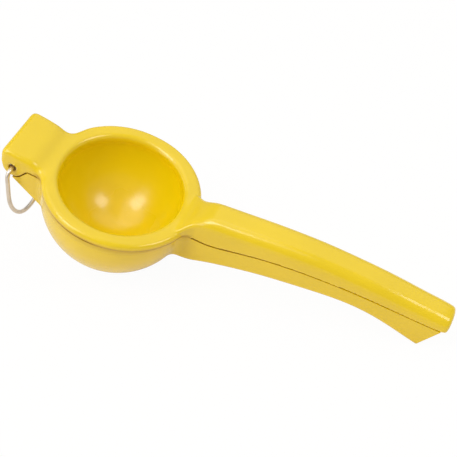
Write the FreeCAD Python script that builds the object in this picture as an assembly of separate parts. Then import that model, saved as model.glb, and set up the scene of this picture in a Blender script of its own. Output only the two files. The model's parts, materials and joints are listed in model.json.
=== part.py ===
import FreeCAD, Part
import math
import os

from FreeCAD import Vector

# Hinged lemon squeezer: two cast arms on one pin, with a wire bail to hang it by.
# The lower arm is a strainer cup with a channel handle, and the upper arm is a
# hollow press dome in a flat ring with a channel handle that closes over it.
#
# Every shape is drawn in the ring's own frame: x runs to the end of the handle,
# y across it, and z = 0 is the flat top of the ring. At the end the whole part is
# leaned by the angle at which it stands on a table, on its cup and handle tip,
# and moved so that the origin is the middle of its footprint. Lengths are in mm.

# Ring, press bowl and strainer cup: the ring's outline is two arcs, whose centres
# lie behind and ahead of the bowl's, and the cup sits a little behind the bowl
bowl_radius = 28.5
bowl_mouth_round = 1.9
bowl_wall = 2.4
dome_gap = 1.9
cup_wall = 2.85
cup_straight = 5.6
cup_back = 0.6
ring_overhang = 0.35
ring_back = 0.8
ring_front = 1.15
ring_thick = 3.9
ring_edge_round = 2.0
ring_under_round = 0.8
seam_gap = 0.3

# Drain holes in the bottom of the cup
hole_radius = 1.8
hole_ring_step = 7.0
hole_rings = 2

# Hinge block, its ears and the pin through them
block_width = 29.6
block_reach = 18.5
block_rise = 3.3
block_top_wall = 2.8
block_depth = 4.8
block_edge_round = 1.6
block_back_round = 3.0
block_fillet = 5.0
block_line = [(-4.6, 3.3), (-3.4, 3.22), (-1.8, 2.6), (0.0, 1.55), (1.8, 0.6), (3.4, 0.1),
              (4.4, -0.12), (6.0, -0.6)]
block_rounds = [(-4.6, 1.6), (-2.0, 2.0), (0.5, 2.6), (4.0, 2.0), (6.0, 2.0)]
bracket_fillet = 4.0
pin_from_ring = 12.0
pin_drop = 6.2
pin_radius = 1.8
pin_bore = 1.3
pin_slot = 0.6
pin_recess = 1.3
ear_radius = 5.2
ear_thick = 5.8
ear_back_above_pin = 4.0
ear_corner_from_pin = 7.4
ear_gap = 0.35
pin_running_gap = 0.05
knuckle_radius = 4.8
knuckle_slot = 2.0
ramp_from_pin = 0.9
ramp_drop = 6.2
ramp_slope_deg = 34.5

# Handles: height of the top, the seam and the underside above the ring's top,
# at shares of the handle's length, and half widths and corner rounds
handle_length = 122.5
handle_wall = 2.6
handle_gap = 0.45
top_line = [(-0.06, -0.8), (-0.036, 0.1), (-0.015, 1.7), (0.01, 4.6), (0.035, 7.4), (0.08, 10.1),
            (0.15, 11.6), (0.25, 13.6), (0.36, 15.6), (0.52, 17.4), (0.69, 17.95), (0.84, 17.35),
            (1.0, 15.9)]
seam_line = [(-0.06, -3.9), (-0.02, -4.0), (0.04, -4.4), (0.08, -4.3), (0.15, -2.4),
             (0.25, 1.5), (0.36, 4.8), (0.52, 7.7), (0.69, 9.2), (1.0, 9.8)]
under_line = [(-0.09, -22.6), (-0.03, -22.3), (0.02, -21.6), (0.05, -20.6), (0.08, -18.9),
              (0.15, -15.4), (0.25, -11.2), (0.36, -7.35), (0.44, -5.3), (0.52, -3.1), (0.6, -1.4),
              (0.66, -0.7), (0.72, -0.9), (0.79, -2.2), (0.86, -4.2), (1.0, -8.4)]
handle_half_width = 8.3
handle_end_half_width = 7.2
neck_fillet = 6.0
lower_neck_fillet = 5.0
top_round = 5.0
under_round = 2.5
end_round = 1.8
hollow_start = 0.07
hollow_end = 0.9
tip_cut_top = 2.4
tip_cut_slope_deg = 67.0
tip_round = 2.0

# Hanging bail
wire_radius = 1.0
bail_half_width = 19.3
bail_drop = 38.3
bail_end_inset = 4.0
bail_bend = 3.2
bail_straight = 14.0
bail_side_radius = 28.0
bail_hang_deg = 7.0

# Places that follow from those sizes
cup_inner = bowl_radius + bowl_wall + dome_gap
cup_radius = cup_inner + cup_wall
ring_radius = cup_radius + ring_overhang
handle_end = ring_radius + handle_length
block_half = block_width / 2
block_back = -(ring_radius + block_reach)
block_front = -ring_radius + block_line[0][0]
pin_x = -(ring_radius + pin_from_ring)
pin_z = -pin_drop
flare_dip = 0.1
seam_top = -ring_thick
seam_low = seam_top - seam_gap
cup_centre_z = seam_low - cup_straight
ear_inner = block_half - ear_thick
pin_half = block_half - pin_recess


def through(points, x):
    """Height at x of the smooth line through the points, with no overshoot."""
    xs = [p[0] for p in points]
    ys = [p[1] for p in points]
    steps = [(ys[i + 1] - ys[i]) / (xs[i + 1] - xs[i]) for i in range(len(xs) - 1)]
    slopes = [steps[0]]
    for a, b in zip(steps, steps[1:]):
        slopes.append(0.0 if a * b <= 0 else 2 * a * b / (a + b))
    slopes.append(steps[-1])
    i = max(k for k in range(len(xs) - 1) if k == 0 or xs[k] <= x)
    h = xs[i + 1] - xs[i]
    t = (x - xs[i]) / h
    return (ys[i] * (2 * t ** 3 - 3 * t ** 2 + 1) + slopes[i] * h * (t ** 3 - 2 * t ** 2 + t)
            + ys[i + 1] * (3 * t ** 2 - 2 * t ** 3) + slopes[i + 1] * h * (t ** 3 - t ** 2))


def along(share):
    """Place on the x axis at a share of the handle's length."""
    return ring_radius + share * handle_length


def half_width(share):
    """Half width of a handle at a share of its length."""
    taper = handle_end_half_width - handle_half_width
    return handle_half_width + taper * max(0.0, share) ** 1.5


def flare(away, half, fillet, centre):
    """How much a root of that half width grows, as it curves out into the ring's arc."""
    fillet_x = centre + math.sqrt((ring_radius + fillet - flare_dip) ** 2 - (half + fillet) ** 2)
    if away >= fillet_x:
        return 0.0
    reach = min(fillet_x - away, fillet * 0.985)
    return fillet - math.sqrt(fillet ** 2 - reach ** 2)


def wire_of(points):
    """Closed wire of straight lines."""
    return Part.makePolygon(points + [points[0]])


def prism(profile, half):
    """Side profile, given as edges or points in x and z, made 2 * half wide in y."""
    face = Part.Face(profile if isinstance(profile, Part.Wire) else wire_of(profile))
    solid = face.extrude(Vector(0, 2 * half, 0))
    solid.translate(Vector(0, -half, 0))
    return solid


def turned(edges):
    """Solid turned about the ring's axis from a half profile in x and z."""
    return Part.Face(Part.Wire(edges)).revolve(Vector(0, 0, 0), Vector(0, 0, 1), 360)


def line(a, b):
    return Part.LineSegment(a, b).toShape()


def arc(a, middle, b):
    return Part.Arc(a, middle, b).toShape()


def at(x, z):
    return Vector(x, 0, z)


def polar(cx, cz, radius, degrees):
    """Point at an angle round a centre in the x, z plane."""
    a = math.radians(degrees)
    return at(cx + radius * math.cos(a), cz + radius * math.sin(a))


def section(x, half, low, high, low_round, high_round):
    """Cross-section of a handle at x, with rounded lower or upper corners."""
    k = math.sqrt(0.5)
    edges = []
    corners = [(half, low, 1, -1, low_round), (half, high, 1, 1, high_round),
               (-half, high, -1, 1, high_round), (-half, low, -1, -1, low_round)]
    starts, ends, mids = [], [], []
    for y, z, sy, sz, r in corners:
        cy, cz = y - sy * r, z - sz * r
        side, cap = Vector(x, y, cz), Vector(x, cy, z)
        first, last = (cap, side) if sy * sz < 0 else (side, cap)
        starts.append(first)
        ends.append(last)
        mids.append(Vector(x, cy + sy * k * r, cz + sz * k * r))
    for i, corner in enumerate(corners):
        if corner[4] > 0:
            edges.append(arc(starts[i], mids[i], ends[i]))
        edges.append(line(ends[i], starts[(i + 1) % 4]))
    return Part.Wire(edges)


def upper_sections(inset, first, last):
    """Sections of the upper handle, or of its hollow when inset is a wall."""
    shares = [-0.06, -0.03, 0.0, 0.03, 0.06, 0.1, 0.15, 0.22, 0.3, 0.4, 0.5, 0.6, 0.7, 0.8, 0.9]
    wires = []
    for s in [first] + [s for s in shares if first < s < last] + [last]:
        x = along(s)
        grown = min(1.0, max(0.0, (s + 0.02) / 0.1))
        r = ring_edge_round + (top_round - ring_edge_round) * grown
        half = half_width(s) + flare(x, handle_half_width, neck_fillet, ring_front) - inset
        wires.append(section(x, half, through(seam_line, s) - inset, through(top_line, s) - inset,
                             0.0, max(r - inset, 1.0)))
    return wires


def lower_sections(inset, first, last):
    """Sections of the lower handle, or of its hollow when inset is a wall."""
    shares = [-0.09, -0.05, -0.02, 0.01, 0.04, 0.08, 0.15, 0.22, 0.3, 0.4, 0.5, 0.6, 0.7, 0.8, 0.9]
    wires = []
    for s in [first] + [s for s in shares if first < s < last] + [last]:
        x = along(s)
        high = through(seam_line, max(s, -0.06)) - handle_gap + inset
        wires.append(section(x, half_width(s) - inset, through(under_line, s) + inset, high,
                             max(under_round - inset, 0.8), 0.0))
    return wires


def ring_plate():
    """Flat plate of the ring, with a wide round on its upper edge and a small one below."""
    r, low = ring_radius, -ring_thick

    def spot(x, y):
        return Vector(x, y, low)

    outline = Part.Wire([line(spot(-ring_back, -r), spot(ring_front, -r)),
                         arc(spot(ring_front, -r), spot(ring_front + r, 0), spot(ring_front, r)),
                         line(spot(ring_front, r), spot(-ring_back, r)),
                         arc(spot(-ring_back, r), spot(-ring_back - r, 0), spot(-ring_back, -r))])
    plate = Part.Face(outline).extrude(Vector(0, 0, ring_thick))
    plate = plate.makeFillet(ring_edge_round, [e for e in plate.Edges if e.BoundBox.ZMin > -0.001])
    return plate.makeFillet(ring_under_round, [e for e in plate.Edges if e.BoundBox.ZMax < low + 0.001])


def dome():
    """Outside of the press dome, from the ring's top down."""
    t, d = ring_thick, bowl_radius + bowl_wall
    return turned([line(at(0, -t / 2), at(d, -t / 2)), line(at(d, -t / 2), at(d, -t)),
                   arc(at(d, -t), polar(0, -t, d, -45), at(0, -t - d)),
                   line(at(0, -t - d), at(0, -t / 2))])


def bowl_hollow():
    """Inside of the press bowl, with its rounded mouth."""
    b, m = bowl_radius, bowl_mouth_round
    k = math.sqrt(0.5)
    lift = 30.0
    edges = [line(at(0, lift), at(b + m, lift)), line(at(b + m, lift), at(b + m, 0)),
             arc(at(b + m, 0), at(b + m - k * m, -m + k * m), at(b, -m)),
             line(at(b, -m), at(b, -ring_thick)),
             arc(at(b, -ring_thick), polar(0, -ring_thick, b, -45), at(0, -ring_thick - b)),
             line(at(0, -ring_thick - b), at(0, lift))]
    return turned(edges)


def block_profile():
    """Side view of the hinge block: rounded back, level top and the ears' lobes."""
    back, top, q = block_back, block_rise, block_back_round
    corner = at(block_front, -block_depth)
    touch = tangent(corner, ear_radius, -1)
    heel = at(back, pin_z + ear_back_above_pin)
    leave = tangent(heel, ear_radius, 1)
    edges = [line(corner, polar(pin_x, pin_z, ear_radius, touch)),
             arc(polar(pin_x, pin_z, ear_radius, touch),
                 polar(pin_x, pin_z, ear_radius, (touch + leave - 360) / 2),
                 polar(pin_x, pin_z, ear_radius, leave)),
             line(polar(pin_x, pin_z, ear_radius, leave), heel),
             line(heel, at(back, top - q)),
             arc(at(back, top - q), polar(back + q, top - q, q, 135), at(back + q, top)),
             line(at(back + q, top), at(block_front, top)),
             line(at(block_front, top), corner)]
    return Part.Wire(edges)


def tangent(point, radius, side):
    """Angle round the pin at which a line from the point touches a circle on the pin."""
    away = math.hypot(point.x - pin_x, point.z - pin_z)
    toward = math.degrees(math.atan2(point.z - pin_z, point.x - pin_x))
    return toward + side * math.degrees(math.acos(radius / away))


def block_neck():
    """Front of the block: it sinks and flares out into the ring, as a loft of sections."""
    wires = []
    for ahead in [-4.6, -3.4, -2.2, -1.0, 0.2, 1.4, 2.6, 3.8, 5.0, 6.0]:
        x = -ring_radius + ahead
        half = block_half + flare(-x, block_half, block_fillet, ring_back)
        wires.append(section(x, half, -block_depth, through(block_line, ahead), 0.0,
                             through(block_rounds, ahead)))
    return Part.makeLoft(wires, True, False)


def hinge_block():
    """Block with its upper edges rounded, cut away under the middle for the knuckle."""
    block = prism(block_profile(), block_half)
    edges = [e for e in block.Edges if on_side(e) and e.BoundBox.ZMin > pin_z + 2.5
             and e.BoundBox.ZMax > 0 and e.BoundBox.XMin < block_front - 0.001]
    block = block.makeFillet(block_edge_round, edges).fuse(block_neck())
    gap_front = block_front + knuckle_slot
    gap = Part.makeBox(gap_front - block_back + 1, 2 * ear_inner, 40,
                       Vector(block_back - 1, -ear_inner, block_rise - block_top_wall - 40))
    cup_clear = Part.makeCylinder(cup_radius + ear_gap, 40, Vector(-cup_back, 0, seam_top - 40))
    return block.cut([gap, cup_clear])


def on_side(edge):
    """True for an edge that lies in one of the block's two flat sides."""
    box = edge.BoundBox
    return box.YLength < 0.001 and abs(abs(box.YMin) - block_half) < 0.001


def upper_arm():
    """Press arm: ring and dome, hinge block with two ears, and channel handle."""
    handle = Part.makeLoft(upper_sections(0.0, -0.06, 1.0), True, False)
    end = [e for e in handle.Edges if e.BoundBox.XMin > handle_end - 0.01
           and e.BoundBox.ZMax > through(seam_line, 1.0) + 0.1]
    handle = handle.makeFillet(end_round, end)
    body = ring_plate().fuse([dome(), hinge_block(), handle])
    body = body.cut(bowl_hollow())
    last = 1.0 - handle_wall / handle_length
    channel = Part.makeLoft(upper_sections(handle_wall, hollow_start, last), True, False)
    body = body.cut(channel)
    ear_bore = Part.makeCylinder(pin_radius + pin_running_gap, 2 * block_width,
                                 Vector(pin_x, -block_width, pin_z), Vector(0, 1, 0))
    return body.cut(ear_bore).removeSplitter()


def cup_outside():
    r, c = cup_radius, cup_centre_z
    cup = turned([line(at(0, seam_low), at(r, seam_low)), line(at(r, seam_low), at(r, c)),
                  arc(at(r, c), polar(0, c, r, -45), at(0, c - r)),
                  line(at(0, c - r), at(0, seam_low))])
    cup.translate(Vector(-cup_back, 0, 0))
    return cup


def cup_hollow():
    r, c = cup_inner, cup_centre_z
    lift = 30.0
    hollow = turned([line(at(0, lift), at(r, lift)), line(at(r, lift), at(r, c)),
                     arc(at(r, c), polar(0, c, r, -45), at(0, c - r)),
                     line(at(0, c - r), at(0, lift))])
    hollow.translate(Vector(-cup_back, 0, 0))
    return hollow


def drain_holes():
    """One hole in the middle of the cup, and rings of six and twelve round it."""
    holes = []
    for ring in range(hole_rings + 1):
        count = max(1, 6 * ring)
        for i in range(count):
            a = 2 * math.pi * i / count
            r = ring * hole_ring_step
            foot = Vector(r * math.cos(a) - cup_back, r * math.sin(a), cup_centre_z - 2 * cup_radius)
            holes.append(Part.makeCylinder(hole_radius, 2 * cup_radius, foot))
    return holes


def hinge_bracket():
    """Wedge that carries the knuckle: its pocket clears the ears' lobes."""
    reach = ear_radius + ear_gap
    top = -block_depth - seam_gap
    corner = at(pin_x + ear_corner_from_pin + ear_gap, top)
    foot = at(pin_x + ramp_from_pin, pin_z - ramp_drop)
    touch = tangent(corner, reach, -1)
    lip = -90 + math.degrees(math.asin(ramp_from_pin / reach) / 2)
    inner_x = -(cup_inner - 6)
    fall = (inner_x - foot.x) * math.tan(math.radians(ramp_slope_deg))
    edges = [line(at(inner_x, top), corner),
             line(corner, polar(pin_x, pin_z, reach, touch)),
             arc(polar(pin_x, pin_z, reach, touch), polar(pin_x, pin_z, reach, (touch + lip) / 2),
                 polar(pin_x, pin_z, reach, lip)),
             line(polar(pin_x, pin_z, reach, lip), foot),
             line(foot, at(inner_x, foot.z - fall)),
             line(at(inner_x, foot.z - fall), at(inner_x, top))]
    return prism(Part.Wire(edges), block_half)


def knuckle():
    """Round lug between the ears, on a web from the bracket."""
    half = ear_inner - seam_gap
    r = knuckle_radius
    lug = Part.makeCylinder(r, 2 * half, Vector(pin_x, -half, pin_z), Vector(0, 1, 0))
    web_x = block_front + knuckle_slot - seam_gap
    top = -block_depth - seam_gap
    web = prism([polar(pin_x, pin_z, r, 60), at(web_x, top), at(web_x, pin_z - 9),
                 at(pin_x + ramp_from_pin, pin_z - ramp_drop), polar(pin_x, pin_z, r, 240)], half)
    return lug.fuse(web)


def meeting_edges(body, one, other, side):
    """Edges of a fused body where two of its parts meet, at least that far out to the side."""
    found = []
    for edge in body.Edges:
        start, end = edge.ParameterRange
        spots = [edge.valueAt(start + (end - start) * k / 4) for k in (1, 2, 3)]
        if all(abs(s.y) > side and Part.Vertex(s).distToShape(p)[0] < 0.001
               for s in spots for p in (one, other)):
            found.append(edge)
    return found


def tip():
    """Side view of the lower handle's tip: its sharp corner, and the ways up its end and back."""
    slope = math.radians(tip_cut_slope_deg)
    top = at(handle_end - tip_cut_top, through(seam_line, 1.0))
    x = top.x
    for _ in range(20):
        z = through(under_line, (x - ring_radius) / handle_length)
        x = top.x - (top.z - z) / math.tan(slope)
    behind = through(under_line, (x - tip_round - ring_radius) / handle_length)
    back = at(-tip_round, behind - z).normalize()
    return at(x, z), at(math.cos(slope), math.sin(slope)), back


def tip_circle():
    """Centre of the tip's round, and the three points of its arc from the end to the underside."""
    corner, up, back = tip()
    half = up.getAngle(back) / 2
    middle = (up + back).normalize()
    run = tip_round / math.tan(half)
    centre = corner + middle * (tip_round / math.sin(half))
    return centre, corner + up * run, centre - middle * tip_round, corner + back * run


def lower_handle():
    """Outside of the lower handle, with its end cut on a slope to a rounded tip."""
    up = tip()[1]
    _, leave, middle, meet = tip_circle()
    far = 4 * handle_half_width
    top, low = leave + up * far, meet + at(0, -far)
    past = at(handle_end + far, 0)
    off = Part.Wire([line(top, leave), arc(leave, middle, meet), line(meet, low),
                     line(low, at(past.x, low.z)), line(at(past.x, low.z), at(past.x, top.z)),
                     line(at(past.x, top.z), top)])
    return Part.makeLoft(lower_sections(0.0, -0.09, 1.0), True, False).cut(prism(off, far))


def lower_arm():
    """Strainer arm: cup with drain holes, hinge bracket and channel handle."""
    cup, handle, bracket = cup_outside(), lower_handle(), hinge_bracket()
    body = cup.fuse(handle)
    body = body.makeFillet(lower_neck_fillet,
                           meeting_edges(body, cup, handle, handle_half_width - under_round - 0.1))
    body = body.fuse(bracket)
    body = body.makeFillet(bracket_fillet, meeting_edges(body, cup, bracket, block_half - 0.1))
    body = body.fuse(knuckle()).cut(cup_hollow())
    channel = Part.makeLoft(lower_sections(handle_wall, hollow_start + 0.03, hollow_end), True, False)
    body = body.cut(channel)
    pin_hole = Part.makeCylinder(pin_radius, 2 * block_width,
                                 Vector(pin_x, -block_width, pin_z), Vector(0, 1, 0))
    return body.cut([pin_hole] + drain_holes()).removeSplitter()


def hinge_pin():
    """Slotted spring pin, a steel tube that is split along its length."""
    start, way = Vector(pin_x, -pin_half, pin_z), Vector(0, 1, 0)
    tube = Part.makeCylinder(pin_radius, 2 * pin_half, start, way)
    tube = tube.cut(Part.makeCylinder(pin_bore, 2 * pin_half, start, way))
    slot = Part.makeBox(2 * pin_radius, 2 * pin_half, pin_slot,
                        Vector(pin_x, -pin_half, pin_z - pin_slot / 2))
    return tube.cut(slot)


def hanging_bail():
    """Wire loop: ends turned into the pin, legs, and a basket-handle curve below."""
    w, b = bail_half_width, bail_bend
    inner = pin_half - bail_end_inset
    side_r = bail_side_radius
    rest = bail_drop - bail_straight
    lean = w - side_r
    foot_r = (side_r ** 2 - lean ** 2 - rest ** 2) / (2 * (side_r - rest))
    k = math.sqrt(0.5)

    def spot(y, down):
        return Vector(pin_x, y, pin_z - down)

    turn = math.atan2(rest - foot_r, side_r - w)
    join_y = foot_r * math.cos(turn)
    join_z = bail_drop - foot_r + foot_r * math.sin(turn)
    side_mid = (w - side_r + side_r * math.cos(turn / 2), bail_straight + side_r * math.sin(turn / 2))
    half = [line(spot(inner, 0), spot(w - b, 0)),
            arc(spot(w - b, 0), spot(w - b + k * b, b - k * b), spot(w, b)),
            line(spot(w, b), spot(w, bail_straight)),
            arc(spot(w, bail_straight), spot(*side_mid), spot(join_y, join_z))]
    bottom = arc(spot(join_y, join_z), spot(0, bail_drop), spot(-join_y, join_z))
    other = [e.mirror(Vector(0, 0, 0), Vector(0, 1, 0)) for e in reversed(half)]
    path = Part.Wire(half + [bottom] + other)
    ring = Part.Wire(Part.Circle(spot(inner, 0), Vector(0, 1, 0), wire_radius).toShape())
    return path.makePipeShell([ring], True, False)


def rest_lean():
    """Angle in degrees at which the cup and the tip of the handle touch a table."""
    reach = tip_circle()[0] - at(-cup_back, cup_centre_z)
    return math.degrees(math.atan2(reach.z, reach.x) + math.asin((cup_radius - tip_round) / reach.Length))


def main():
    os.makedirs("parts", exist_ok=True)
    lean = rest_lean()
    shapes = {"upper_arm": upper_arm(), "lower_arm": lower_arm(), "hinge_pin": hinge_pin(),
              "hanging_bail": hanging_bail()}
    shapes["hanging_bail"].rotate(Vector(pin_x, 0, pin_z), Vector(0, 1, 0), -bail_hang_deg)
    for shape in shapes.values():
        shape.rotate(Vector(0, 0, 0), Vector(0, 1, 0), lean)
    box = Part.makeCompound(list(shapes.values())).optimalBoundingBox()
    shift = Vector(-(box.XMin + box.XMax) / 2, 0, -box.ZMin)
    for name, shape in shapes.items():
        shape.translate(shift)
        shape.exportStep("parts/" + name + ".step")
        print(name, "solids", len(shape.Solids), "valid", shape.isValid(),
              "volume", round(shape.Volume / 1000, 2), "cm3")
    a = math.radians(lean)
    axis = Vector(pin_x * math.cos(a) + pin_z * math.sin(a), 0,
                  -pin_x * math.sin(a) + pin_z * math.cos(a)) + shift
    print("lean", round(lean, 3), "pin axis", round(axis.x, 3), round(axis.z, 3), "shift", shift)
    print("box", box.XLength, box.YLength, box.ZLength)


main()
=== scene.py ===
"""Finishes, a softened upper arm, the wire bail and a photo stage for a hinged lemon squeezer,
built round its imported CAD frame."""
import json
import math

import bmesh
import bpy
import numpy as np
from bpy.props import FloatProperty, FloatVectorProperty, IntProperty, PointerProperty
from mathutils import Matrix, Vector


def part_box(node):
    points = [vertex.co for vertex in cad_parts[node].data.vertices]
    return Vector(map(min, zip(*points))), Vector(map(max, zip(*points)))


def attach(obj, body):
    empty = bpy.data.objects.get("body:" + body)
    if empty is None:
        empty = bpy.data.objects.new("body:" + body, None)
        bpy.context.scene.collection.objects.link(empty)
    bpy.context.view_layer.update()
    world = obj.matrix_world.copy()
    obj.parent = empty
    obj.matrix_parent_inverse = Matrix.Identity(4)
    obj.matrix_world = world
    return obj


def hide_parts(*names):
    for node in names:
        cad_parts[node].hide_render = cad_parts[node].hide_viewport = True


bl_info = {
    "name": "Hinged lemon squeezer",
    "version": (1, 0, 0),
    "blender": (4, 5, 0),
    "location": "3D View > Sidebar > Squeezer",
    "description": "Enamel and steel finishes, the hanging bail and a pale stage for a lemon squeezer",
    "category": "Add Mesh",
}

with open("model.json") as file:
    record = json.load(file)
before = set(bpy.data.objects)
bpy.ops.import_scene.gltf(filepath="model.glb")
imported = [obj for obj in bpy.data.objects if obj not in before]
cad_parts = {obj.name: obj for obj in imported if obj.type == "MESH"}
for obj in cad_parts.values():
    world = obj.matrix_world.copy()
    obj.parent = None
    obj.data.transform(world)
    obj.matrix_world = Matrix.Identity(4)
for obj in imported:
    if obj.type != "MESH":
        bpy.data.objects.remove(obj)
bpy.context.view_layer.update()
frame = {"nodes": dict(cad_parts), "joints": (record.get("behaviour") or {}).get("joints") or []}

# The hinge pin's axis, and the box of the bail that hangs on it
hinge = Vector(next(j for j in frame["joints"] if j["name"] == "arm_hinge")["pos_m"])
bail_low, bail_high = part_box("hanging_bail")

# The middle of the ring's top, and the ways out of it and along it: the closed squeezer leans
# towards its handles
ring_centre = Vector((-0.0511, 0.0, 0.0449))
ring_lean = math.radians(15.375)
ring_up = Vector((math.sin(ring_lean), 0.0, math.cos(ring_lean)))
ring_ahead = Vector((math.cos(ring_lean), 0.0, -math.sin(ring_lean)))

# Distances from the ring's middle over which its outer wall starts and ends and the bowl's lighter
# colour, painted bounce light, ends, and heights over the ring's top over which it starts
wall_start = (0.0335, 0.0350)
wall_end = (0.0420, 0.0370)
bowl_end = (0.0325, 0.0305)
bowl_start = (-0.002, -0.008)

# The enamel's patterns: the noise values between which pools and dust set in, the occlusion values
# between which the painted shade in crevices sets in, the shades of the deeper and paler pools, and
# the slow ripple's frequency and height as shares of the peel's
pools_range = (0.3, 0.7)
dust_range = (0.62, 0.82)
crevice_shade_range = (0.12, 0.70)
deep_pools = 0.97
pale_pools = 1.02
ripple_frequency = 0.2
ripple_height = 1.6

# Heights over the ring's top between which each arm's painted shade along the ring's seam sets in (on
# the ring's lower wall, and on the cup's wall under its overhang), and its most
upper_shade_heights = (-0.0016, -0.0030)
upper_shade_share = 0.8
lower_shade_heights = (-0.0080, -0.0046)
lower_shade_share = 0.3

# Places along X between which the painted seam shade grows to its most, and its least share beyond them
shade_fade = (0.075, -0.010)
shade_least = 0.1

# How much rougher than plain enamel the painted seam shade, the dust, the paler pools and the bowl are
painted_shade_dull = 0.3
dust_dull = 0.04
pools_dull = 0.03
bowl_dull = 0.05

# Weight of the clear coat outside the bowl and in it
coat_weight = 0.5
bowl_coat_weight = 0.12

# The steel's patterns: shades of its dull and bright places, the scratches' share in them against the
# patches', the values between which they change, and how much rougher scratches and patches are
dull_steel = 0.8
bright_steel = 1.08
scratch_share = 0.6
tone_range = (0.35, 0.65)
scratch_dull = 0.16
patch_dull = 0.08

# The paper's own colour, and how far gloss sees it glow instead, and how much dimmer
paper_colour = (0.97, 0.90, 0.80)
gloss_glow = 0.5
gloss_dimming = 0.3

# Points of a CAD mesh that lie nearer than this are one
weld_distance = 0.00001

# Shares of the way to the mean of its neighbours that a ripple pass moves a point, in and back out
inward = 0.5
outward = -0.53

# Places along the ring, counted from its middle towards the handles, between which the block's top
# drops and between which it comes back to its height, and heights between which the drop sets in
ramp_drop = (-0.060, -0.037)
ramp_return = (-0.037, -0.029)
ramp_heights = (-0.002, 0.002)

# Places along the ring between which the handle sinks, and a second stretch with its share
handle_root = (0.028, 0.042)
handle_end = (0.085, 0.140)
handle_end_share = 0.6

# The hollow before the neck: distance from the ring's middle and spread, half the width that is
# softened in full, and the spread beside it
neck_hollow = (0.0375, 0.0045)
neck_half = 0.004
neck_spread = 0.003

# The hollow before the block: place along the ring and spread, and the distances to the sides,
# counted as negative, over which it fades out
block_hollow = (-0.0365, 0.0055)
block_sides = (-0.024, -0.020)

# The bowl's mouth: distance from the ring's middle and spread, and how softly it is rounded
mouth_edge = (0.0291, 0.0013)
mouth_share = 0.5

# Places behind the ring's middle between which the block's edges are softened, and how softly
block_edges = (0.0370, 0.0420)
block_edges_share = 0.25

# Heights over the ring's top between which all these set in, and the share of a pass at their most
soft_heights = (-0.0042, -0.0020)
soft_share = 0.5

# Places along X between which the upper handle's end face is softened, and how softly
end_face = (0.098, 0.101)
end_face_share = 0.06

# Corners of the wire's section, and its blunt ends: depth and least girth as shares of the radius
wire_sides = 32
dome_depth = 0.35
dome_girth = 0.55

# Points on the bail's bend and on its leg, and on each of its wider arcs
leg_steps = 24
arc_steps = 48

# The soft boxes: name, azimuth and elevation in degrees, distance, width and height in metres, watts
LAMPS = (
    ("right_box", 97.0, 46.0, 0.9, 0.36, 0.36, 1.85),
    ("front_box", -38.0, 58.0, 1.0, 0.40, 0.50, 3.0),
    ("low_box", -38.0, 24.0, 1.0, 0.35, 0.50, 1.2),
    ("top_box", -80.0, 74.0, 1.2, 1.3, 0.9, 3.3),
    ("left_box", -80.0, 26.0, 1.0, 0.8, 0.5, 1.0),
    ("back_box", 172.0, 48.0, 1.0, 1.0, 0.9, 1.6),
)


class Socket:
    """A shader value: an expression on it adds the Math nodes that work it out."""

    def __init__(self, net, link):
        self.net = net
        self.link = link

    def math(self, operation, *others):
        values = dict(enumerate([self, *others]))
        return self.net.add("ShaderNodeMath", {"operation": operation}, values)["Value"]

    def __add__(self, other):
        return self.math("ADD", other)

    def __sub__(self, other):
        return self.math("SUBTRACT", other)

    def __rsub__(self, other):
        return (self * -1.0) + other

    def __mul__(self, other):
        return self.math("MULTIPLY", other)

    def between(self, low, high):
        """0 before low, 1 past high and a smooth change between them; high may be the lesser one."""
        values = {"Value": self, "From Min": low, "From Max": high}
        return self.net.add("ShaderNodeMapRange", {"interpolation_type": "SMOOTHSTEP"}, values)["Result"]


class Outputs:
    """A node's outputs by name, as sockets."""

    def __init__(self, net, node):
        self.net = net
        self.node = node

    def __getitem__(self, name):
        return Socket(self.net, self.node.outputs[name])


class Net:
    """The nodes of one material or world."""

    def __init__(self, owner):
        owner.use_nodes = True
        self.tree = owner.node_tree
        self.tree.nodes.clear()

    def add(self, kind, settings=None, values=None):
        """Any node: its settings are set first, then the values or links of its sockets."""
        node = self.tree.nodes.new(kind)
        for name, setting in (settings or {}).items():
            setattr(node, name, setting)
        for name, value in (values or {}).items():
            if isinstance(value, Socket):
                self.tree.links.new(value.link, node.inputs[name])
            else:
                node.inputs[name].default_value = value
        return Outputs(self, node)

    def blend(self, share, first, second):
        """Colour between two colours, by a share from 0 to 1."""
        node = self.tree.nodes.new("ShaderNodeMix")
        node.data_type = "RGBA"
        sockets = [s for s in node.inputs if s.type == "RGBA"]
        for socket, value in zip(sockets, (first, second)):
            if isinstance(value, Socket):
                self.tree.links.new(value.link, socket)
            else:
                socket.default_value = value
        self.tree.links.new(share.link, node.inputs["Factor"])
        return Socket(self, next(s for s in node.outputs if s.type == "RGBA"))

    def vector(self, operation, *vectors):
        """Vector maths on links or fixed vectors."""
        return self.add("ShaderNodeVectorMath", {"operation": operation}, dict(enumerate(vectors)))

    def noise(self, place, scale, detail, roughness=0.5):
        """Noise from 0 to 1 at a place."""
        values = {"Vector": place, "Scale": scale, "Detail": detail, "Roughness": roughness}
        return self.add("ShaderNodeTexNoise", None, values)["Fac"]

    def finish(self, shader):
        """Ends a material in a shader."""
        self.add("ShaderNodeOutputMaterial", None, {"Surface": shader})


def opaque(colour):
    return (*colour, 1.0)


def shade(colour, factor):
    """The same colour, made darker or lighter, as the four numbers that a socket takes."""
    return opaque([min(1.0, c * factor) for c in colour])


def new_material(name):
    material = bpy.data.materials.new(name)
    return material, Net(material)


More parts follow.
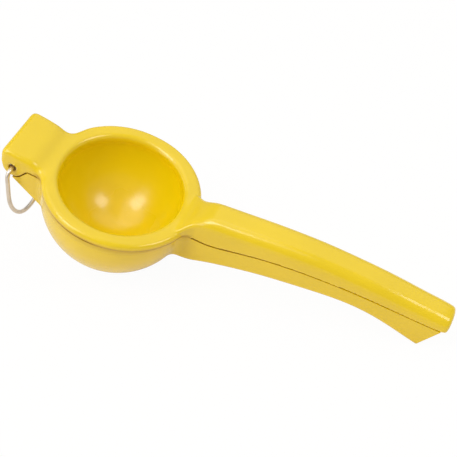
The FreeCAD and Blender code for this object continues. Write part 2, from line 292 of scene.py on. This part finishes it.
def enamel_material(name, settings, seam, shade_share):
    """Glossy baked enamel: a fine orange peel, a colour that pools a little deeper in places, brown
    painted shade in the seams that ambient occlusion finds, thinning out towards the handles' ends, and
    painted shade along the ring's seam as well, between two heights over its top. The bowl has a
    lighter, deeper yellow as painted bounce light, and a thinner coat."""
    material, net = new_material(name)
    place = net.add("ShaderNodeTexCoord")["Object"]
    pools = net.noise(place, scale=34.0, detail=3.0).between(*pools_range)
    peel = net.noise(place, scale=1.0 / settings.peel_size, detail=2.0)
    ripple = net.noise(place, scale=ripple_frequency / settings.peel_size, detail=2.0)
    dust = net.noise(place, scale=900.0, detail=4.0, roughness=0.7).between(*dust_range)
    bump = net.add("ShaderNodeBump", None, {"Strength": 0.35, "Distance": settings.peel_height,
                                            "Height": peel + ripple * ripple_height})["Normal"]

    from_ring = net.vector("SUBTRACT", place, ring_centre)["Vector"]
    rise = net.vector("DOT_PRODUCT", from_ring, ring_up)["Value"]
    reach = net.vector("LENGTH", from_ring)["Value"]
    wall = reach.between(*wall_start) * reach.between(*wall_end)
    bowl = rise.between(*bowl_start) * reach.between(*bowl_end)

    # Painted shade: ambient occlusion finds the seams and crevices, where the base colour darkens to
    # brown
    occlusion = net.add("ShaderNodeAmbientOcclusion", {"samples": 12}, {"Distance": settings.seam_reach})
    crevice_shade = (1.0 - occlusion["AO"]).between(*crevice_shade_range)
    along = net.add("ShaderNodeSeparateXYZ", None, {"Vector": place})["X"]
    shade_along_handle = along.between(*shade_fade) * (1.0 - shade_least) + shade_least
    # Painted shade along the ring's seam, on the outer wall between two heights
    shade_under_ring = rise.between(*seam) * wall * shade_share
    painted_shade = (crevice_shade * shade_along_handle).math("MAXIMUM", shade_under_ring)

    outside = net.blend(pools, shade(settings.colour, deep_pools), shade(settings.colour, pale_pools))
    # Painted bounce light: the bowl gets a lighter, deeper yellow than the rest
    clean = net.blend(bowl, outside, opaque(settings.bowl_bounce_colour))
    plain = pools * pools_dull + bowl * bowl_dull + settings.roughness
    roughness = painted_shade * painted_shade_dull + (dust * dust_dull + plain)
    coat = (bowl * (bowl_coat_weight - coat_weight) + coat_weight) * (1.0 - painted_shade)
    # The painted shade darkens the base colour, roughens it and thins its coat
    shader = net.add("ShaderNodeBsdfPrincipled", None, {
        "Base Color": net.blend(painted_shade, clean, opaque(settings.seam_shade_colour)), "Roughness": roughness,
        "Normal": bump, "IOR": 1.5, "Coat Weight": coat, "Coat Roughness": 0.13,
        "Coat IOR": 1.5})["BSDF"]
    net.finish(shader)
    return material


def steel_material(name, settings, stretched):
    """Bright drawn steel, with fine scratches along a wire or round a pin."""
    material, net = new_material(name)
    coordinates = net.add("ShaderNodeTexCoord")
    if stretched:
        place = net.add("ShaderNodeMapping", None, {"Vector": coordinates["UV"],
                                                    "Scale": (1.0, 60.0, 1.0)})["Vector"]
        lines = net.noise(place, scale=14.0, detail=4.0, roughness=0.6)
        patches = net.noise(coordinates["Object"], scale=160.0, detail=3.0)
    else:
        lines = net.noise(coordinates["Object"], scale=2600.0, detail=3.0)
        patches = net.noise(coordinates["Object"], scale=300.0, detail=2.0)
    dull = shade(settings.colour, dull_steel)
    bright = shade(settings.colour, bright_steel)
    tone = (lines * scratch_share + patches * (1.0 - scratch_share)).between(*tone_range)
    roughness = lines * scratch_dull + (patches * patch_dull + settings.roughness)
    bump = net.add("ShaderNodeBump", None, {"Strength": 0.25, "Distance": 0.00003,
                                            "Height": lines})["Normal"]
    shader = net.add("ShaderNodeBsdfPrincipled", None, {
        "Base Color": net.blend(tone, dull, bright), "Metallic": 1.0, "Roughness": roughness,
        "Normal": bump})["BSDF"]
    net.finish(shader)
    return material


def paper_material(name, brightness):
    """Pale warm sweep: the camera sees it white but for a trace of the shadow, and gloss sees it
    dimmer, with more of the shadow."""
    material, net = new_material(name)
    path = net.add("ShaderNodeLightPath")
    gloss = path["Is Glossy Ray"].math("MAXIMUM", path["Is Transmission Ray"])
    glowing = path["Is Camera Ray"] * brightness + gloss * gloss_glow
    matte = net.add("ShaderNodeBsdfDiffuse", None, {"Color": opaque(paper_colour)})["BSDF"]
    glow = net.add("ShaderNodeEmission", None, {"Color": opaque([1.0] * 3),
                                                "Strength": gloss * -gloss_dimming + 1.0})["Emission"]
    mixed = net.add("ShaderNodeMixShader", None, {0: glowing, 1: matte, 2: glow})["Shader"]
    net.finish(mixed)
    return material


def smooth_piece(name, mesh):
    """A smooth-shaded object of a mesh."""
    mesh.polygons.foreach_set("use_smooth", np.ones(len(mesh.polygons), bool))
    mesh.update()
    piece = bpy.data.objects.new(name, mesh)
    bpy.context.scene.collection.objects.link(piece)
    return piece


def grid_faces(rows, columns):
    """Quads of a grid whose columns close on themselves."""
    row, column = np.meshgrid(np.arange(rows - 1), np.arange(columns), indexing="ij")
    beside = (column + 1) % columns
    corners = [row * columns + column, row * columns + beside, (row + 1) * columns + beside,
               (row + 1) * columns + column]
    return np.stack(corners, -1).reshape(-1, 4)


def arc_points(centre, radius, start, end, count):
    """Points on a circle from one angle to another, in radians."""
    angle = np.linspace(start, end, count)
    return np.stack([centre[0] + radius * np.cos(angle), centre[1] + radius * np.sin(angle)], -1)


def bail_line(half, drop, bend, straight, side_radius, inner):
    """Half of the bail's centreline as across and down: a turn out of the pin, a straight leg,
    a wide arc, and a tighter one through the bottom that meets it smoothly."""
    rest = drop - straight
    lean = half - side_radius
    foot = (side_radius ** 2 - lean ** 2 - rest ** 2) / (2 * (side_radius - rest))
    join = math.atan2(rest - foot, side_radius - half)
    return np.concatenate([
        np.linspace((inner, 0.0), (half - bend, 0.0), leg_steps // 2, endpoint=False),
        arc_points((half - bend, bend), bend, -math.pi / 2, 0.0, leg_steps),
        np.linspace((half, bend), (half, straight), leg_steps)[1:-1],
        arc_points((lean, straight), side_radius, 0.0, join, arc_steps),
        arc_points((0.0, drop - foot), foot, join, math.pi / 2, arc_steps)[1:]])


def tube(line, side, radius, around):
    """Rings round a flat line: each point moves along the plane's normal and along the line's
    own normal in the plane, by the cosine and sine of the angle. The ends draw in to a blunt dome."""
    ahead = np.gradient(line, axis=0)
    ahead /= np.linalg.norm(ahead, axis=1)[:, None]
    beside = np.cross(ahead, side)
    length = np.concatenate([[0.0], np.cumsum(np.linalg.norm(np.diff(line, axis=0), axis=1))])
    near_end = np.minimum(length, length[-1] - length)
    edge = np.clip(near_end / (radius * dome_depth), 0.0, 1.0)
    girth = radius * (dome_girth + (1.0 - dome_girth) * np.sqrt(1.0 - (1.0 - edge) ** 2))
    angle = np.linspace(0.0, 2 * math.pi, around, endpoint=False)
    reach = girth[:, None, None] * (np.cos(angle)[None, :, None] * side
                                    + np.sin(angle)[None, :, None] * beside[:, None, :])
    points = (line[:, None, :] + reach).reshape(-1, 3)
    faces = grid_faces(len(line), around)
    share = np.tile(angle / (2 * math.pi), len(line))
    uv = np.stack([np.repeat(length / length[-1], around), share], -1)
    corners = uv[faces]

    # A face that closes the turn has its low corners raised by a whole turn
    wrapped = corners[:, :, 1].max(1) - corners[:, :, 1].min(1) > 0.5
    corners[wrapped, :, 1] += corners[wrapped, :, 1] < 0.5
    return points, faces, corners


def closed_tube(name, line, side, radius):
    """A tube of quads round a flat line, with a fan of triangles over each end."""
    points, faces, uvs = tube(line, side, radius, wire_sides)
    around = np.arange(wire_sides)
    beside = (around + 1) % wire_sides
    start = np.full(wire_sides, len(points))
    last_row = len(points) - wire_sides
    caps = np.concatenate([np.stack([start, beside, around], -1),
                           np.stack([start + 1, last_row + around, last_row + beside], -1)])
    points = np.concatenate([points, line[[0, -1]]])
    mesh = bpy.data.meshes.new(name)
    mesh.from_pydata(points.tolist(), [], faces.tolist() + caps.tolist())
    layer = mesh.uv_layers.new(name="along")
    cap_uvs = np.full((len(caps) * 3, 2), 0.5)
    layer.data.foreach_set("uv", np.concatenate([uvs.reshape(-1, 2), cap_uvs]).ravel())
    return smooth_piece(name, mesh)


class EnamelSettings(bpy.types.PropertyGroup):
    """What can be changed on the two enamelled arms."""

    colour: FloatVectorProperty(name="Colour", description="Colour of the enamel", subtype="COLOR",
                                size=3, min=0.0, max=1.0, default=(0.83, 0.582, 0.001))
    # Painted bounce light: the bowl's lighter, deeper yellow
    bowl_bounce_colour: FloatVectorProperty(name="Bowl colour", description="Colour in the press bowl",
                                     subtype="COLOR", size=3, min=0.0, max=1.0,
                                     default=(0.855, 0.635, 0.0))
    roughness: FloatProperty(name="Roughness", description="How soft the reflections are",
                             subtype="FACTOR", min=0.0, max=1.0, default=0.24)
    peel_size: FloatProperty(name="Peel size", description="Size of the orange peel's cells",
                             unit="LENGTH", min=0.0001, max=0.01, default=0.0012)
    # Painted shade: the brown that the seams and the band along the ring's seam darken to
    seam_shade_colour: FloatVectorProperty(name="Seam colour", description="Colour of the seams' residue",
                                     subtype="COLOR", size=3, min=0.0, max=1.0,
                                     default=(0.46, 0.25, 0.001))
    # Painted shade: the occlusion distance within which the seams darken
    seam_reach: FloatProperty(name="Seam reach", description="How far from a seam the residue reaches",
                              unit="LENGTH", min=0.0001, max=0.01, default=0.004)
    peel_height: FloatProperty(name="Peel height", description="Depth of the orange peel",
                               unit="LENGTH", min=0.0, max=0.001, default=0.00002)


class CastSettings(bpy.types.PropertyGroup):
    """How fine the upper arm's mesh is, and how softly its parts run together."""

    grain: FloatProperty(name="Grain", description="Size of the even mesh's cells", unit="LENGTH",
                         min=0.0004, max=0.002, default=0.0006)
    ripple_passes: IntProperty(name="Ripple passes",
                               description="Passes that take out the cells' ripples", min=0, max=50,
                               default=6)
    blend_passes: IntProperty(name="Blend passes", description="Passes that soften the hollows",
                              min=0, max=400, default=60)
    seam_close: FloatProperty(name="Seam closing", description="How much nearer the handles lie",
                              unit="LENGTH", min=0.0, max=0.0002, default=0.00016)
    block_slope: FloatProperty(name="Block slope", description="Drop of the block's top at the ring",
                               unit="LENGTH", min=0.0, max=0.003, default=0.0014)


class SteelSettings(bpy.types.PropertyGroup):
    """What can be changed on the pin and on the wire bail."""

    colour: FloatVectorProperty(name="Colour", description="Colour of the bare steel", subtype="COLOR",
                                size=3, min=0.0, max=1.0, default=(0.83, 0.74, 0.63))
    roughness: FloatProperty(name="Roughness", description="How soft the reflections are",
                             subtype="FACTOR", min=0.0, max=1.0, default=0.26)
    wire_radius: FloatProperty(name="Wire radius", description="Half the bail's wire thickness",
                               unit="LENGTH", min=0.0002, max=0.003, default=0.001)
    bend: FloatProperty(name="Bend", description="Radius of the turn out of the pin", unit="LENGTH",
                        min=0.001, max=0.01, default=0.0032)
    straight: FloatProperty(name="Straight leg", description="Drop at which the wide arcs start",
                            unit="LENGTH", min=0.0, max=0.03, default=0.014)
    side_radius: FloatProperty(name="Side radius", description="Radius of the wide arcs", unit="LENGTH",
                               min=0.01, max=0.1, default=0.028)
    inner: FloatProperty(name="End in the pin", description="Distance of each wire end from the middle",
                         unit="LENGTH", min=0.0, max=0.02, default=0.0095)


class StageSettings(bpy.types.PropertyGroup):
    """The camera's place and the light's level."""

    lens: FloatProperty(name="Lens", description="Focal length for a 36 mm wide sensor", min=10.0,
                        max=300.0, default=78.77)
    aim: FloatVectorProperty(name="Aim", description="Point that the camera looks at", unit="LENGTH",
                             size=3, default=(-0.00046, 0.00262, 0.03101))
    distance: FloatProperty(name="Distance", description="Camera to aim", unit="LENGTH", min=0.1,
                            max=5.0, default=0.45347)
    azimuth: FloatProperty(name="Azimuth", description="Camera's turn round the squeezer",
                           subtype="ANGLE", default=math.radians(23.353))
    elevation: FloatProperty(name="Elevation", description="Camera's height over the worktop",
                             subtype="ANGLE", default=math.radians(45.946))
    roll: FloatProperty(name="Roll", description="Camera's turn about its own view", subtype="ANGLE",
                        default=math.radians(-2.012))
    room: FloatProperty(name="Room light", description="Strength of the even light", min=0.0, max=5.0,
                        default=0.38)
    lamps: FloatProperty(name="Lamps", description="Strength of the soft boxes", min=0.0, max=10.0,
                         default=1.0)
    paper: FloatProperty(name="Paper white", description="How far the sweep hides the shadow",
                         subtype="FACTOR", min=0.0, max=1.0, default=0.96)


class SqueezerSettings(bpy.types.PropertyGroup):
    """All settings of the squeezer, as one group on the scene."""

    enamel: PointerProperty(type=EnamelSettings)
    cast: PointerProperty(type=CastSettings)
    steel: PointerProperty(type=SteelSettings)
    stage: PointerProperty(type=StageSettings)


def give_material(node, material):
    """The material in every slot of a CAD node."""
    mesh = frame["nodes"][node].data
    if not mesh.materials:
        mesh.materials.append(material)
    for i in range(len(mesh.materials)):
        mesh.materials[i] = material


def even_mesh(name, node, grain):
    """A copy of a node's solid as a mesh of even cells, and its points and edges as arrays."""
    work = bmesh.new()
    work.from_mesh(frame["nodes"][node].data)
    bmesh.ops.remove_doubles(work, verts=work.verts, dist=weld_distance)
    solid = bpy.data.meshes.new(name)
    work.to_mesh(solid)
    work.free()
    rough = bpy.data.objects.new(name, solid)
    bpy.context.scene.collection.objects.link(rough)
    remesh = rough.modifiers.new("even", "REMESH")
    remesh.mode = "VOXEL"
    remesh.voxel_size = grain
    bpy.context.view_layer.update()
    even = bpy.data.meshes.new_from_object(rough.evaluated_get(bpy.context.evaluated_depsgraph_get()))
    bpy.data.objects.remove(rough)
    bpy.data.meshes.remove(solid)
    even.materials.clear()
    points = np.empty(len(even.vertices) * 3)
    even.vertices.foreach_get("co", points)
    edges = np.empty(len(even.edges) * 2, int)
    even.edges.foreach_get("vertices", edges)
    return even, points.reshape(-1, 3), edges.reshape(-1, 2)


def relax(points, edges, shares, passes):
    """Each pass moves a point by each share of the way to the mean of its neighbours; a negative
    share moves it back out, so that only ripples go and the size stays."""
    ends = np.concatenate([edges[:, 0], edges[:, 1]])
    others = np.concatenate([edges[:, 1], edges[:, 0]])
    count = np.bincount(ends, minlength=len(points))[:, None]
    for _ in range(passes):
        for share in shares:
            sums = np.stack([np.bincount(ends, points[others, i], len(points)) for i in range(3)], -1)
            points = points + share * (sums / count - points)
    return points


def ring_view(points):
    """Places along the ring towards the handles, across it and above its top."""
    from_ring = points - np.array(ring_centre)
    return from_ring @ np.array(ring_ahead), from_ring[:, 1], from_ring @ np.array(ring_up)


def rise_share(values, low, high):
    """0 below low, 1 above high and a smooth rise between them."""
    t = np.clip((values - low) / (high - low), 0.0, 1.0)
    return t * t * (3.0 - 2.0 * t)


def hill(values, middle, spread):
    """A bell-shaped share that is 1 at the middle."""
    return np.exp(-((values - middle) / spread) ** 2)


def blend_upper(points, edges, cast):
    """The upper arm's own marks: its block slopes down to the ring, its handle lies near the lower
    one, and its mouth, its block and its neck run into the ring in soft hollows."""
    along, across, rise = ring_view(points)
    out = np.hypot(along, across)
    side = np.abs(across)
    slope = rise_share(along, *ramp_drop) * (1.0 - rise_share(along, *ramp_return))
    closing = rise_share(along, *handle_root) + handle_end_share * rise_share(along, *handle_end)
    sink = cast.block_slope * slope * rise_share(rise, *ramp_heights) + cast.seam_close * closing
    points = points - sink[:, None] * np.array(ring_up)

    beside_neck = np.clip(side - neck_half, 0.0, None)
    neck = hill(out, *neck_hollow) * (along > 0.0) * hill(beside_neck, 0.0, neck_spread)
    block = hill(along, *block_hollow) * rise_share(-side, *block_sides)
    mouth = mouth_share * hill(out, *mouth_edge)
    edges_of_block = block_edges_share * rise_share(-along, *block_edges)
    softened = np.clip(neck + block + mouth + edges_of_block, 0.0, 1.0)
    share = soft_share * softened * rise_share(rise, *soft_heights)
    share += end_face_share * rise_share(points[:, 0], *end_face)
    return relax(points, edges, [share[:, None]], cast.blend_passes)


def upper_casting(cast):
    """The upper arm's solid on an even mesh, with the ripples taken out and its parts run together."""
    even, points, edges = even_mesh("upper_casting", "upper_arm", cast.grain)
    points = relax(points, edges, (inward, outward), cast.ripple_passes)
    points = blend_upper(points, edges, cast)
    even.vertices.foreach_set("co", points.ravel())
    piece = smooth_piece("upper_casting", even)
    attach(piece, "upper_arm")
    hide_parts("upper_arm")
    return piece


class SQUEEZER_OT_castings(bpy.types.Operator):
    """Enamel on both arms, and the upper arm's soft edges and hollows"""

    bl_idname = "squeezer.castings"
    bl_label = "Enamelled arms"

    def execute(self, context):
        enamel = context.scene.squeezer.enamel
        cast = context.scene.squeezer.cast
        # Each arm's enamel paints shade in its seams and along the ring's seam
        upper_enamel = enamel_material("upper_enamel", enamel, upper_shade_heights, upper_shade_share)
        lower_enamel = enamel_material("lower_enamel", enamel, lower_shade_heights, lower_shade_share)
        upper_casting(cast).data.materials.append(upper_enamel)
        give_material("lower_arm", lower_enamel)
        return {"FINISHED"}


class SQUEEZER_OT_pin(bpy.types.Operator):
    """Bright steel on the spring pin"""

    bl_idname = "squeezer.pin"
    bl_label = "Hinge pin"

    def execute(self, context):
        give_material("hinge_pin", steel_material("pin_steel", context.scene.squeezer.steel, False))
        return {"FINISHED"}


class SQUEEZER_OT_bail(bpy.types.Operator):
    """Drawn wire bail, with the scratches along the wire"""

    bl_idname = "squeezer.bail"
    bl_label = "Hanging bail"

    def execute(self, context):
        steel = context.scene.squeezer.steel
        radius = steel.wire_radius
        half = (bail_high.y - bail_low.y) / 2 - radius
        foot = Vector((bail_low.x + radius, 0.0, bail_low.z + radius)) - Vector((hinge.x, 0.0, hinge.z))
        down = np.array(foot.normalized())
        across = np.array((0.0, 1.0, 0.0))
        side = np.cross(down, across)
        flat = bail_line(half, foot.length, steel.bend, steel.straight, steel.side_radius, steel.inner)
        whole = np.concatenate([flat, flat[-2::-1] * (-1.0, 1.0)])
        line = np.array(hinge) + whole[:, :1] * across + whole[:, 1:] * down
        piece = closed_tube("bail_wire", line, side, radius)
        piece.data.materials.append(steel_material("wire_steel", steel, True))
        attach(piece, "hanging_bail")
        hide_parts("hanging_bail")
        return {"FINISHED"}


def direction(azimuth, elevation):
    """Unit vector towards a place round the object: azimuth 0 is -Y, and 90 is +X."""
    return Vector((math.sin(azimuth) * math.cos(elevation), -math.cos(azimuth) * math.cos(elevation),
                   math.sin(elevation)))


def soft_box(name, aim, azimuth, elevation, distance, width, height, power):
    """A rectangular lamp at a place round the object, turned towards it."""
    data = bpy.data.lights.new(name, "AREA")
    data.shape = "RECTANGLE"
    data.size = width
    data.size_y = height
    data.energy = power
    lamp = bpy.data.objects.new(name, data)
    away = direction(math.radians(azimuth), math.radians(elevation))
    lamp.location = aim + away * distance
    lamp.rotation_euler = away.to_track_quat("Z", "Y").to_euler()
    bpy.context.scene.collection.objects.link(lamp)


class SQUEEZER_OT_stage(bpy.types.Operator):
    """White sweep, soft boxes and the camera"""

    bl_idname = "squeezer.stage"
    bl_label = "Stage"

    def execute(self, context):
        stage = context.scene.squeezer.stage
        aim = Vector(stage.aim)
        self.floor(stage)
        self.light(stage, aim)
        self.camera(stage, aim)
        context.scene.view_settings.view_transform = "Standard"
        return {"FINISHED"}

    def floor(self, stage):
        """A square of white paper, much wider than the squeezer."""
        reach = 3.0
        corners = [(-reach, -reach, 0.0), (reach, -reach, 0.0), (reach, reach, 0.0),
                   (-reach, reach, 0.0)]
        mesh = bpy.data.meshes.new("paper_sweep")
        mesh.from_pydata(corners, [], [(0, 1, 2, 3)])
        paper = smooth_piece("paper_sweep", mesh)
        paper.data.materials.append(paper_material("white_paper", stage.paper))

    def light(self, stage, aim):
        """The soft boxes, and an even room that the camera sees white."""
        for name, *place_and_size, watts in LAMPS:
            soft_box(name, aim, *place_and_size, watts * stage.lamps)
        world = bpy.data.worlds.new("even_room")
        bpy.context.scene.world = world
        net = Net(world)
        path = net.add("ShaderNodeLightPath")
        seen = path["Is Camera Ray"].math("MAXIMUM", path["Is Transmission Ray"])
        strength = seen * (1.0 - stage.room) + stage.room
        sky = net.add("ShaderNodeBackground", None, {"Color": opaque([1.0] * 3), "Strength": strength})
        net.add("ShaderNodeOutputWorld", None, {"Surface": sky["Background"]})

    def camera(self, stage, aim):
        """The camera at the photo's viewing angle."""
        data = bpy.data.cameras.new("photo_camera")
        data.sensor_width = 36.0
        data.lens = stage.lens
        data.clip_start = 0.02
        data.clip_end = 20.0
        camera = bpy.data.objects.new("photo_camera", data)
        bpy.context.scene.collection.objects.link(camera)
        back = direction(stage.azimuth, stage.elevation)
        right = Vector((math.cos(stage.azimuth), math.sin(stage.azimuth), 0.0))
        up = back.cross(right)
        turned = right * math.cos(stage.roll) + up * math.sin(stage.roll)
        camera.matrix_world = Matrix.Translation(aim + back * stage.distance) @ Matrix(
            (turned, back.cross(turned), back)).transposed().to_4x4()
        bpy.context.scene.camera = camera


class SQUEEZER_PT_panel(bpy.types.Panel):
    """The squeezer's settings and the buttons that make its pieces"""

    bl_idname = "SQUEEZER_PT_panel"
    bl_label = "Lemon squeezer"
    bl_space_type = "VIEW_3D"
    bl_region_type = "UI"
    bl_category = "Squeezer"

    def draw(self, context):
        settings = context.scene.squeezer
        for group in (settings.enamel, settings.cast, settings.steel, settings.stage):
            box = self.layout.box()
            for name in group.bl_rna.properties.keys():
                if name not in ("rna_type", "name"):
                    box.prop(group, name)
        for operator in PIECES:
            self.layout.operator(operator.bl_idname)


PIECES = (SQUEEZER_OT_castings, SQUEEZER_OT_pin, SQUEEZER_OT_bail, SQUEEZER_OT_stage)
CLASSES = (EnamelSettings, CastSettings, SteelSettings, StageSettings, SqueezerSettings, *PIECES,
           SQUEEZER_PT_panel)


def register():
    for cls in CLASSES:
        bpy.utils.register_class(cls)
    bpy.types.Scene.squeezer = PointerProperty(type=SqueezerSettings)


def unregister():
    del bpy.types.Scene.squeezer
    for cls in reversed(CLASSES):
        bpy.utils.unregister_class(cls)


def main():
    register()
    bpy.ops.squeezer.castings()
    bpy.ops.squeezer.pin()
    bpy.ops.squeezer.bail()
    bpy.ops.squeezer.stage()


if __name__ == "__main__":
    main()
